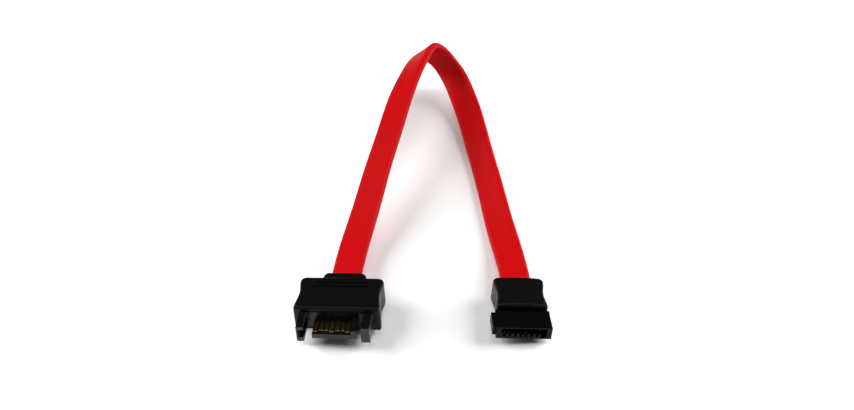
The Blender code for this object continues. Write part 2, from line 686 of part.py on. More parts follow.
def build_wires(frames, plug_frame, receptacle_frame, parts, core_material, drain_material):
    """The four insulated cores and the four bare drain wires, from contact to contact."""
    forward = Matrix(((1, 0, 0), (0, 0, 1), (0, -1, 0))).to_4x4()
    backward = Matrix(((1, 0, 0), (0, 0, -1), (0, 1, 0))).to_4x4()
    wires = []
    for pair, side, signals, (outer, inner) in PAIRS:
        centre = side * PAIR_PITCH / 2
        for number, contact in enumerate(signals, 1):
            offset = centre + (number - 1.5) * CORE_PITCH
            wires.append((f"pair_{pair}_core_{number}", offset, contact_offset(contact)))
        outer_end = contact_offset(outer)
        wires.append((f"pair_{pair}_outer_drain", centre + side * DRAIN_PITCH / 2, outer_end))
        inner_end = contact_offset(inner) + side * DRAIN_PAIR_GAP / 2
        wires.append((f"pair_{pair}_inner_drain", centre - side * DRAIN_PITCH / 2, inner_end))
    for name, offset, end in wires:
        bare = name.endswith("drain")
        diameter = DRAIN_DIAMETER if bare else CORE_DIAMETER
        sides = DRAIN_SIDES if bare else CORE_SIDES
        loop = arc((0.0, 0.0), diameter / 2, 0, 360, sides)[:-1]
        plug_stops = wire_stops(
            plug_frame, forward, (offset, end), BLADE_END + WIRE_GAP, BLADE_MIDDLE,
            PLUG_CABLE_END, PLUG_CABLE_LEVEL,
        )
        grip_stops = wire_stops(
            receptacle_frame, backward, (offset, end), SPRING_END + WIRE_GAP, SPRING_LEVEL,
            GRIP_CABLE_END, GRIP_CABLE_LEVEL,
        )
        along = [frame @ Matrix.Translation((offset, 0.0, 0.0)) for frame in frames]
        stops = plug_stops + along + grip_stops[::-1]
        sweep(name, [loop], stops, parts, drain_material if bare else core_material)


def build_cable(frames, parts, material):
    """The red jacket: a flat bar with round edges and a channel for each pair of wires."""
    loops = [
        stadium(CABLE_WIDTH, CABLE_THICKNESS, END_SIDES),
        stadium(CHANNEL_WIDTH, CHANNEL_HEIGHT, CHANNEL_SIDES, -PAIR_PITCH / 2),
        stadium(CHANNEL_WIDTH, CHANNEL_HEIGHT, CHANNEL_SIDES, PAIR_PITCH / 2),
    ]
    return sweep("cable_jacket", loops, frames, parts, material)


def main():
    """Build the lead."""
    clear_scene()
    parts = new_collection("sata_extension_cable")
    helpers = new_collection("cutters")
    black = new_material("black_moulding", (0.012, 0.012, 0.013), 0.55)
    carrier_black = new_material("black_carrier", (0.02, 0.02, 0.022), 0.4)
    red = new_material("red_jacket", (0.62, 0.008, 0.012), 0.42)
    gold = new_material("gold_contact", (0.75, 0.52, 0.2), 0.3, 1.0)
    core_white = new_material("core_insulation", (0.75, 0.75, 0.72), 0.5)
    tinned = new_material("tinned_wire", (0.65, 0.65, 0.64), 0.35, 1.0)

    plug_frame = connector_frame(
        PLUG_PLACE, PLUG_TURN, PLUG_ROLL, HOOD_HALF, HOOD_EDGE_RADIUS
    )
    receptacle_frame = connector_frame(
        RECEPTACLE_PLACE, RECEPTACLE_TURN, RECEPTACLE_ROLL, GRIP_REAR_HALF, GRIP_EDGE_RADIUS
    )
    plug = connector_empty("plug", plug_frame, parts)
    receptacle = connector_empty("receptacle", receptacle_frame, parts)

    build_hood(parts, helpers, plug, black)
    build_plug_carrier(parts, helpers, plug, carrier_black)
    build_plug_contacts(parts, plug, gold)
    build_grip(parts, helpers, receptacle, black)
    build_nose(parts, helpers, receptacle, carrier_black)
    build_receptacle_contacts(parts, receptacle, gold)

    frames = cable_frames(plug_frame, receptacle_frame)
    build_cable(frames, parts, red)
    build_wires(frames, plug_frame, receptacle_frame, parts, core_white, tinned)


main()
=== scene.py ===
"""The look of a short flat red data extension cable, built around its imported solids.

The plug and the receptacle are made in millimetres in their own frames, where X runs across a
connector, Y along it towards its cable and Z upwards. They are then set down in the frame of the
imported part. The ribbon follows the same points as the part's own cable.
"""

import json
import logging
import math
from collections.abc import Sequence
from dataclasses import dataclass, field
from enum import Enum

import bmesh
import bpy
import numpy as np
from mathutils import Euler, Matrix, Vector


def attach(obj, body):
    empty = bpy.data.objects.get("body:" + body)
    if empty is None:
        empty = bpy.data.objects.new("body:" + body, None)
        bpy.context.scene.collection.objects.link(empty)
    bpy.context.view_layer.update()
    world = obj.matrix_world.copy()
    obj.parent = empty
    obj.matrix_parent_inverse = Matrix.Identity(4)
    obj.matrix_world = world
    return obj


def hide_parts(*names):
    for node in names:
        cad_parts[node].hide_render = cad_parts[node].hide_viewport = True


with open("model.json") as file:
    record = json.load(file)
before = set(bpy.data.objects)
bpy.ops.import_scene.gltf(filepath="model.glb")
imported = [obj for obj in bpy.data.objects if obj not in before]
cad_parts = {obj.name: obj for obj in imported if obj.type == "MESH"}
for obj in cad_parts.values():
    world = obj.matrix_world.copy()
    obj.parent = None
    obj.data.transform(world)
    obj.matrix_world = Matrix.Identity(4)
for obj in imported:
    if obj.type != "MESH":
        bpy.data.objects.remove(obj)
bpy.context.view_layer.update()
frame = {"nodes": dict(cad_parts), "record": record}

LOG = logging.getLogger("cable")
MM = 0.001
BODY = "root"
JACKET_NODE = "cable_jacket"

Point = Sequence[float]
Pair = tuple[float, float]
Outline = list[Pair]
Colour = tuple[float, float, float]
Socket = bpy.types.NodeSocket

# In millimetres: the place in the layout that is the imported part's origin, the gap to the table,
# the gap round a piece that fits in another, and how far a cutting shape runs past a face
LAYOUT_CENTRE = Vector((21.01, 8.05, 0.0))
TABLE_GAP = 0.01
FIT = 0.05
OVERCUT = 1.0

# In degrees: the turn from which a plate's edge is rounded with its rim, a carved edge is
# softened, and an edge is shaded sharply
RIM_ANGLE = 50
SOFTENED_ANGLE = 40
SHARP_ANGLE = 50

# Where the levels of a cloudy pattern mostly lie
USUAL_LEVELS = (0.3, 0.7)

# The ribbon's way from the plug's collar to the receptacle's grip: x, y, z in millimetres, and
# the angle in degrees by which it has rolled over
CABLE_ROUTE = (
    (4.1, 30.3, 4.0, 3),
    (6.5, 41.9, 6.2, 8),
    (9.3, 55.3, 9.7, 15),
    (12.4, 68.8, 12.9, 18),
    (15.2, 81.4, 15.4, 21),
    (18.1, 92.1, 16.6, 29),
    (20.4, 99.8, 16.4, 36),
    (23.0, 105.0, 15.0, 56),
    (25.5, 106.2, 12.5, 78),
    (28.0, 105.4, 9.5, 110),
    (30.1, 103.0, 7.1, 136),
    (31.6, 99.8, 5.2, 153),
    (32.7, 96.2, 4.0, 159),
    (33.8, 91.4, 3.2, 157),
    (34.9, 84.5, 2.8, 151),
    (36.6, 72.0, 2.6, 144),
    (38.9, 54.7, 2.5, 147),
    (40.4, 42.7, 2.2, 155),
    (42.1, 30.9, 2.3, 170),
)


class Slot(str, Enum):
    """The record's material slots."""

    MOULDING = "moulding"
    CARRIER = "carrier"
    CONTACT = "contact"
    JACKET = "jacket"
    CORE = "core"
    DRAIN = "drain"


class Operation(str, Enum):
    """How a helper shape meets its base."""

    JOIN = "UNION"
    CUT = "DIFFERENCE"


@dataclass(frozen=True)
class Graph:
    """The shader nodes of one material or world.

    Args:
        tree: Its node tree.
    """

    tree: bpy.types.NodeTree

    def feed(self, entry: Socket, value: Socket | float | Colour) -> None:
        """Let a node's entry follow a socket, or give it a value of its own.

        Args:
            entry: The node's entry.
            value: A socket, a number or a colour.
        """
        if isinstance(value, bpy.types.NodeSocket):
            self.tree.links.new(value, entry)
        else:
            entry.default_value = (*value, 1.0) if isinstance(value, tuple) else value

    def place(self, kind: str) -> Socket:
        """The socket of the place that is shaded, in the given kind of coordinates."""
        return self.tree.nodes.new("ShaderNodeTexCoord").outputs[kind]

    def axes(self, kind: str) -> bpy.types.bpy_prop_collection:
        """That place's X, Y and Z.

        Args:
            kind: The kind of coordinates.

        Returns:
            The three sockets, by their names.
        """
        parts = self.tree.nodes.new("ShaderNodeSeparateXYZ")
        self.feed(parts.inputs["Vector"], self.place(kind))
        return parts.outputs

    def worked(self, operation: str, *values: Socket | float) -> Socket:
        """Add one arithmetic node.

        Args:
            operation: What the node does.
            values: Its inputs in order, each a socket or a number.

        Returns:
            The socket of its result.
        """
        node = self.tree.nodes.new("ShaderNodeMath")
        node.operation = operation
        for entry, value in zip(node.inputs, values):
            self.feed(entry, value)
        return node.outputs["Value"]

    def ranged(self, value: Socket, given: Pair, wanted: Pair, soft: bool = False) -> Socket:
        """Add one step from a first result to a second.

        Args:
            value: The socket that the step follows.
            given: Where the step starts and ends.
            wanted: The results before and after it.
            soft: Whether it leaves its start and reaches its end gently.

        Returns:
            The socket of its result.
        """
        step = self.tree.nodes.new("ShaderNodeMapRange")
        step.interpolation_type = "SMOOTHSTEP" if soft else "LINEAR"
        self.feed(step.inputs["Value"], value)
        for name, number in zip(("From Min", "From Max", "To Min", "To Max"), (*given, *wanted)):
            self.feed(step.inputs[name], number)
        return step.outputs["Result"]

    def noise(self, place: Socket, scale: float, detail: float) -> Socket:
        """Add one cloudy pattern.

        Args:
            place: The socket of the place that it is read at.
            scale: Its features per metre.
            detail: How many finer layers it has.

        Returns:
            The socket of its level, about one half on average.
        """
        node = self.tree.nodes.new("ShaderNodeTexNoise")
        self.feed(node.inputs["Scale"], scale)
        self.feed(node.inputs["Detail"], detail)
        self.feed(node.inputs["Vector"], place)
        return node.outputs["Fac"]

    def bump(self, level: Socket, height: float, below: Socket | None = None) -> Socket:
        """Add one layer of relief.

        Args:
            level: The socket of its pattern.
            height: How high the pattern stands, in metres.
            below: The socket of the layer that it lies on, if any.

        Returns:
            The socket of the tilted normal.
        """
        node = self.tree.nodes.new("ShaderNodeBump")
        self.feed(node.inputs["Strength"], 1.0)
        self.feed(node.inputs["Distance"], height)
        self.feed(node.inputs["Height"], level)
        if below:
            self.feed(node.inputs["Normal"], below)
        return node.outputs["Normal"]

    def blended(self, share: Socket, first: Colour, second: Colour | Socket) -> Socket:
        """Add one mix of two colours.

        Args:
            share: The socket of the second colour's share.
            first: The first colour.
            second: The second colour, or the socket of its grey.

        Returns:
            The socket of the mixed colour.
        """
        mix = self.tree.nodes.new("ShaderNodeMix")
        mix.data_type = "RGBA"
        self.feed(mix.inputs["A"], first)
        self.feed(mix.inputs["B"], second)
        self.feed(mix.inputs["Factor"], share)
        return mix.outputs["Result"]


@dataclass(frozen=True)
class Finish:
    """The look of one material.

    Args:
        name: The material's name.
        colour: Its main linear colour.
        shade: The colour that broad clouds of it drift to.
        roughness: Its lowest and highest roughness.
        grain: The fine bump's features per metre and its height in metres.
        waves: The broad bump's features per metre and its height in metres.
        metallic: 1 for a metal.
        specular: The level of the clear reflection.
        scatter: The depth in metres to which light enters it, or none.
        scatter_share: How much of the light that it gives back has been inside it.
        scatter_reach: How far red, green and blue light travel in it, as shares of the depth.
        clouds: The features per metre of the clouds of colour.
        speckle: The features per metre of the changes of roughness.
    """

    name: str
    colour: Colour
    shade: Colour
    roughness: Pair
    grain: Pair
    waves: Pair = (260.0, 0.0)
    metallic: float = 0.0
    specular: float = 0.5
    scatter: float = 0.0
    scatter_share: float = 0.25
    scatter_reach: Colour = (1.0, 0.25, 0.2)
    clouds: float = 420.0
    speckle: float = 1900.0

    def material(self) -> bpy.types.Material:
        """The material of this finish, made once.

        Returns:
            A procedural material in the object's own coordinates.
        """
        known = bpy.data.materials.get(self.name)
        if known:
            return known
        made = bpy.data.materials.new(self.name)
        made.use_nodes = True
        graph = Graph(made.node_tree)
        shader = graph.tree.nodes["Principled BSDF"].inputs
        place = graph.place("Object")

        clouds = graph.noise(place, self.clouds, detail=3.0)
        graph.feed(shader["Base Color"], graph.blended(clouds, self.colour, self.shade))
        speckle = graph.noise(place, self.speckle, detail=4.0)
        graph.feed(shader["Roughness"], graph.ranged(speckle, USUAL_LEVELS, self.roughness))

        scale, height = self.waves
        waves = graph.bump(graph.noise(place, scale, detail=1.0), height)
        scale, height = self.grain
        grain = graph.bump(graph.noise(place, scale, detail=2.0), height, waves)
        graph.feed(shader["Normal"], grain)

        shader["Metallic"].default_value = self.metallic
        shader["Specular IOR Level"].default_value = self.specular
        if self.scatter:
            shader["Subsurface Weight"].default_value = self.scatter_share
            shader["Subsurface Radius"].default_value = self.scatter_reach
            shader["Subsurface Scale"].default_value = self.scatter
        return made


BLACK_MOULDING = Finish(
    name="black_flexible_moulding",
    colour=(0.0012, 0.0012, 0.0010),
    shade=(0.0018, 0.0018, 0.0015),
    roughness=(0.36, 0.46),
    grain=(5200.0, 0.000005),
    waves=(300.0, 0.00002),
    specular=0.24,
)
BLACK_CARRIER = Finish(
    name="black_hard_moulding",
    colour=(0.0022, 0.0022, 0.0024),
    shade=(0.0034, 0.0034, 0.0038),
    roughness=(0.24, 0.32),
    grain=(6000.0, 0.000002),
    specular=0.50,
)
BLACK_NOSE = Finish(
    name="black_dull_moulding",
    colour=(0.0010, 0.0010, 0.0009),
    shade=(0.0014, 0.0014, 0.0012),
    roughness=(0.34, 0.44),
    grain=(6000.0, 0.000003),
    specular=0.14,
)
RED_JACKET = Finish(
    name="red_flexible_jacket",
    colour=(0.605, 0.0026, 0.0046),
    shade=(0.575, 0.0022, 0.0038),
    roughness=(0.44, 0.54),
    grain=(3800.0, 0.000004),
    waves=(150.0, 0.00002),
    specular=0.11,
    scatter=0.0004,
)
GOLD_PLATE = Finish(
    name="gold_plated_contact",
    colour=(0.62, 0.41, 0.19),
    shade=(0.50, 0.31, 0.13),
    roughness=(0.18, 0.28),
    grain=(7000.0, 0.000002),
    metallic=1.0,
)
CORE_INSULATION = Finish(
    name="pale_core_insulation",
    colour=(0.75, 0.75, 0.72),
    shade=(0.68, 0.68, 0.66),
    roughness=(0.45, 0.6),
    grain=(4000.0, 0.000004),
)
TINNED_WIRE = Finish(
    name="tinned_drain_wire",
    colour=(0.66, 0.65, 0.63),
    shade=(0.58, 0.57, 0.56),
    roughness=(0.25, 0.4),
    grain=(6000.0, 0.000003),
    metallic=1.0,
)
FINISHES = {
    Slot.MOULDING: BLACK_MOULDING,
    Slot.CARRIER: BLACK_CARRIER,
    Slot.CONTACT: GOLD_PLATE,
    Slot.JACKET: RED_JACKET,
    Slot.CORE: CORE_INSULATION,
    Slot.DRAIN: TINNED_WIRE,
}


def arc(centre: Point, radius: float, start: float, end: float, steps: int) -> Outline:
    """Points along an arc, from one angle in degrees to another."""
    angles = [math.radians(start + (end - start) * step / steps) for step in range(steps + 1)]
    return [(centre[0] + radius * math.cos(a), centre[1] + radius * math.sin(a)) for a in angles]


def shares(parts: int) -> list[float]:
    """The ends of equal parts of one, up to one itself."""
    return [part / parts for part in range(1, parts + 1)]


def mirrored(right: Outline) -> Outline:
    """A whole outline from its right half."""
    return right + [(-x, y) for x, y in reversed(right)]


def ease(start: float, end: float, share: float) -> float:
    """A value that leaves its start and reaches its end gently."""
    return start + (end - start) * share * share * (3 - 2 * share)


def linked(name: str, data: bpy.types.ID) -> bpy.types.Object:
    """Put a mesh, a lamp or a camera into the scene.

    Args:
        name: The object's name.
        data: What it shows.

    Returns:
        The object.
    """
    made = bpy.data.objects.new(name, data)
    bpy.context.scene.collection.objects.link(made)
    return made


def unpacked(mesh: bmesh.types.BMesh, name: str) -> bpy.types.Mesh:
    """End the work on a mesh and keep its result.

    Args:
        mesh: The mesh, which is freed.
        name: The kept mesh's name.

    Returns:
        The kept mesh.
    """
    data = bpy.data.meshes.new(name)
    mesh.to_mesh(data)
    mesh.free()
    return data


def baked(obj: bpy.types.Object) -> bpy.types.Mesh:
    """A mesh of an object with its modifiers applied.

    Args:
        obj: The object.

    Returns:
        The new mesh.
    """
    bpy.context.view_layer.update()
    graph = bpy.context.evaluated_depsgraph_get()
    return bpy.data.meshes.new_from_object(obj.evaluated_get(graph))


def smoothed(data: bpy.types.Mesh) -> None:
    """Shade a mesh smoothly, up to its sharp edges."""
    data.shade_smooth()
    data.set_sharp_from_angle(angle=math.radians(SHARP_ANGLE))


class Solid:
    """A closed shape in millimetres, in the frame of the connector that it belongs to."""

    def __init__(self) -> None:
        """Start an empty shape."""
        self.mesh = bmesh.new()

    @classmethod
    def block(cls, low: Point, high: Point) -> "Solid":
        """A box between two corners.

        Args:
            low: Its lowest corner.
            high: Its highest corner.

        Returns:
            The box.
        """
        made = cls()
        low, high = Vector(low), Vector(high)
        bmesh.ops.create_cube(made.mesh, size=1.0)
        bmesh.ops.scale(made.mesh, vec=high - low, verts=made.mesh.verts[:])
        bmesh.ops.translate(made.mesh, vec=(low + high) / 2, verts=made.mesh.verts[:])
        return made

    @classmethod
    def plate(cls, outline: Outline, low: float, high: float, rim: float = 0.0) -> "Solid":
        """An outline in plan, raised from one height to another.

        Args:
            outline: Its points across and along.
            low: The height of its underside.
            high: The height of its top.
            rim: The radius of its rims and of its sharp upright corners.

        Returns:
            The plate.
        """
        made = cls()
        base = made.mesh.faces.new([made.mesh.verts.new((x, y, low)) for x, y in outline])
        grown = bmesh.ops.extrude_face_region(made.mesh, geom=[base], use_keep_orig=True)
        moved = [item for item in grown["geom"] if isinstance(item, bmesh.types.BMVert)]
        bmesh.ops.translate(made.mesh, vec=(0.0, 0.0, high - low), verts=moved)
        bmesh.ops.recalc_face_normals(made.mesh, faces=made.mesh.faces[:])
        if rim:
            sharp = [e for e in made.mesh.edges if e.calc_face_angle(0.0) > math.radians(RIM_ANGLE)]
            made.round(sharp, rim, segments=5)
        return made

    def round(self, edges: list[bmesh.types.BMEdge], radius: float, segments: int) -> None:
        """Round some of its edges.

        Args:
            edges: The edges.
            radius: The radius of the rounding.
            segments: How many flats make it up.
        """
        bmesh.ops.bevel(
            self.mesh,
            geom=edges,
            offset=radius,
            offset_type="OFFSET",
            affect="EDGES",
            segments=segments,
            profile=0.5,
            material=-1,
            clamp_overlap=True,
        )

    def crown(self, drop: float, half: float, level: float, strips: int = 12) -> None:
        """Let its top fall away to both sides like a shallow vault.

        Args:
            drop: How far the top falls at its sides.
            half: Half the width over which it falls.
            level: The height from which all of it falls.
            strips: How many strips each half of the vault has.
        """
        for step in range(1 - strips, strips):
            geom = self.mesh.verts[:] + self.mesh.edges[:] + self.mesh.faces[:]
            place = (half * step / strips, 0.0, 0.0)
            bmesh.ops.bisect_plane(self.mesh, geom=geom, plane_co=place, plane_no=(1.0, 0.0, 0.0))
        for vert in self.mesh.verts:
            share = min(max(vert.co.z / level, 0.0), 1.0)
            vert.co.z -= drop * share * (vert.co.x / half) ** 2

    def turned(self, matrix: Matrix) -> "Solid":
        """The same shape after a turn or a move."""
        bmesh.ops.transform(self.mesh, matrix=matrix, verts=self.mesh.verts[:])
        return self

    def helper(self, name: str) -> bpy.types.Object:
        """An object of the shape as it stands, still in millimetres."""
        bmesh.ops.recalc_face_normals(self.mesh, faces=self.mesh.faces[:])
        return linked(name, unpacked(self.mesh, name))


@dataclass
class Carving:
    """A base shape with helpers joined to it or cut from it, then softened at its edges.

    Args:
        name: The finished piece's name.
        base: The shape that it starts from.
        softening: The radius that its remaining sharp edges are rounded by.
        steps: Its helpers in order, each with how it meets the base.
    """

    name: str
    base: Solid
    softening: float
    steps: list[tuple[Operation, Solid]] = field(default_factory=list)

    def add(self, operation: Operation, shape: Solid) -> None:
        """Take one more helper, in order."""
        self.steps.append((operation, shape))

    def join(self, low: Point, high: Point) -> None:
        """Join one more box to it."""
        self.add(Operation.JOIN, Solid.block(low, high))

    def cut(self, low: Point, high: Point) -> None:
        """Cut one more box from it."""
        self.add(Operation.CUT, Solid.block(low, high))

    def finished(self, placement: Matrix) -> bpy.types.Object:
        """The piece at the scene's origin, with its place in its mesh.

        Args:
            placement: The connector's frame, in metres.

        Returns:
            The finished object, smoothly shaded.
        """
        body = self.base.helper(self.name)
        helpers = []
        for number, (operation, shape) in enumerate(self.steps):
            other = shape.helper(f"{self.name}_helper_{number}")
            boolean = body.modifiers.new(other.name, "BOOLEAN")
            boolean.operation = operation.value
            boolean.solver = "EXACT"
            boolean.object = other
            helpers.append(other)
        bevel = body.modifiers.new("softened", "BEVEL")
        bevel.width = self.softening
        bevel.segments = 2
        bevel.limit_method = "ANGLE"
        bevel.angle_limit = math.radians(SOFTENED_ANGLE)
        data = baked(body)
        for obj in [body, *helpers]:
            bpy.data.objects.remove(obj, do_unlink=True)
        data.transform(placement @ Matrix.Scale(MM, 4))
        smoothed(data)
        piece = linked(self.name, data)
        even = piece.modifiers.new("even_shading", "WEIGHTED_NORMAL")
        even.keep_sharp = True
        piece.data = baked(piece)
        piece.data.name = self.name
        piece.modifiers.clear()
        return piece


def settle(
    piece: bpy.types.Object, slot: Slot, node: str, finish: Finish | None = None
) -> bpy.types.Object:
    """Give a piece its finish, its body and the node that it stands for.

    Args:
        piece: The finished piece.
        slot: The record's slot that it belongs to.
        node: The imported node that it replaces.
        finish: Its own finish, where it isn't the slot's.

    Returns:
        The same piece.
    """
    piece.data.materials.clear()
    piece.data.materials.append((finish or FINISHES[slot]).material())
    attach(piece, BODY)
    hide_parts(node)
    return piece


@dataclass(frozen=True)
class Contacts:
    """The row of contacts that both ends share, in millimetres."""

    count: int = 7
    pitch: float = 1.27
    shift: float = -0.75
    grounds: tuple[int, ...] = (1, 4, 7)

    def offset(self, number: int) -> float:
        """The place of a contact across its connector."""
        return self.shift + (number - (self.count + 1) / 2) * self.pitch

    def numbers(self) -> range:
        """The contacts' numbers."""
        return range(1, self.count + 1)


@dataclass(frozen=True)
class Section:
    """The ribbon's section in millimetres: two flat faces and two round edges."""

    width: float = 7.3
    thickness: float = 2.0
    dip: float = 0.045
    dip_width: float = 0.55
    face_parts: int = 14

    def outline(self, grow: float = 0.0) -> Outline:
        """Its outline, or that of a passage round it.

        Args:
            grow: How far the passage stands off it.

        Returns:
            The outline.
        """
        radius = self.thickness / 2 + grow
        reach = self.width / 2 + grow - radius
        right = arc((reach, 0.0), radius, -90, 90, steps=10)
        return right + arc((-reach, 0.0), radius, 90, 270, steps=10)

    def dipped(self) -> Outline:
        """Its outline with points along the two faces, which sink a little between the pairs.

        Returns:
            The outline.
        """
        points = []
        outline = self.outline()
        for here, there in zip(outline, outline[1:] + outline[:1]):
            points.append(here)
            if abs(there[0] - here[0]) < self.thickness:
                continue
            for share in shares(self.face_parts)[:-1]:
                across = here[0] + (there[0] - here[0]) * share
                dip = self.dip * math.exp(-((across / self.dip_width) ** 2))
                points.append((across, here[1] - math.copysign(1.0, here[1]) * dip))
        return points


CONTACTS = Contacts()
SECTION = Section()


@dataclass
class Connector:
    """What both ends share, in millimetres: a waisted moulding that leans on a lower edge.

    Args:
        place: Its place in the layout.
        turn: Its turn about the upright axis, in degrees.
        roll: Its roll about its own length, in degrees.
        resting_half: Half its width where it rests.
        front_half: Half its width at the front.
        waist_half: Half its width at the waist.
        waist_along: The waist's distance from the front.
        rear_half: Half its width at the rear.
        rear_corner: The radius of its rear corners.
        rim: The radius of its rims.
        length: Its length without a collar.
        collar_length: How far its collar reaches past that.
        height: Its height.
        jacket_depth: How far the cable's jacket runs into it.
    """

    place: Pair
    turn: float
    roll: float
    resting_half: float
    front_half: float
    waist_half: float
    waist_along: float
    rear_half: float
    rear_corner: float
    rim: float
    length: float
    collar_length: float
    height: float
    jacket_depth: float

    @property
    def frame(self) -> Matrix:
        """Its frame, so high that its lower rounded edge just clears the table.

        Returns:
            The frame in metres.
        """
        lean, flat = math.radians(abs(self.roll)), self.resting_half - self.rim
        rise = flat * math.sin(lean) + self.rim * (1 - math.cos(lean)) + TABLE_GAP
        turns = Euler((0.0, math.radians(self.roll), math.radians(self.turn)))
        resting = Vector((*self.place, rise)) - LAYOUT_CENTRE
        return Matrix.Translation(resting * MM) @ turns.to_matrix().to_4x4()

    @property
    def rear(self) -> float:
        """Where the cable leaves it."""
        return self.length + self.collar_length

    @property
    def cable_end(self) -> float:
        """Where the cable's jacket ends inside it."""
        return self.rear - self.jacket_depth

    def held(self) -> list[Vector]:
        """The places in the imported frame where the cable's jacket ends and where it comes out.

        Returns:
            The two places, in millimetres.
        """
        middles = [Vector((0.0, along, self.height / 2)) for along in (self.cable_end, self.rear)]
        return [self.frame @ (middle * MM) / MM for middle in middles]

    def moulding(self) -> Solid:
        """The outer moulding's plate, whose front corners have room for their rounding.

        Returns:
            The plate.
        """
        front, waist, rear = self.front_half, self.waist_half, self.rear_half
        corner, along = self.rear_corner, self.waist_along
        straight = self.length - corner - along
        to_waist, to_rear = shares(10)[1:-1], [0.0, *shares(8)[:-1]]
        right = [(front, 0.0)]
        right += [(ease(front, waist, share), along * share) for share in to_waist]
        right += [(ease(waist, rear, share), along + straight * share) for share in to_rear]
        right += arc((rear - corner, self.length - corner), corner, 0, 90, steps=8)
        return Solid.plate(mirrored(right), 0.0, self.height, self.rim)

    def passage(self) -> Solid:
        """The hole that the cable lies in.

        Returns:
            The shape of the hole.
        """
        start, end = self.cable_end - FIT, self.rear + 2 * OVERCUT
        upright = Matrix.Rotation(math.radians(90), 4, "X")
        placed = Matrix.Translation((0.0, 0.0, self.height / 2)) @ upright
        return Solid.plate(SECTION.outline(FIT), -end, -start).turned(placed)


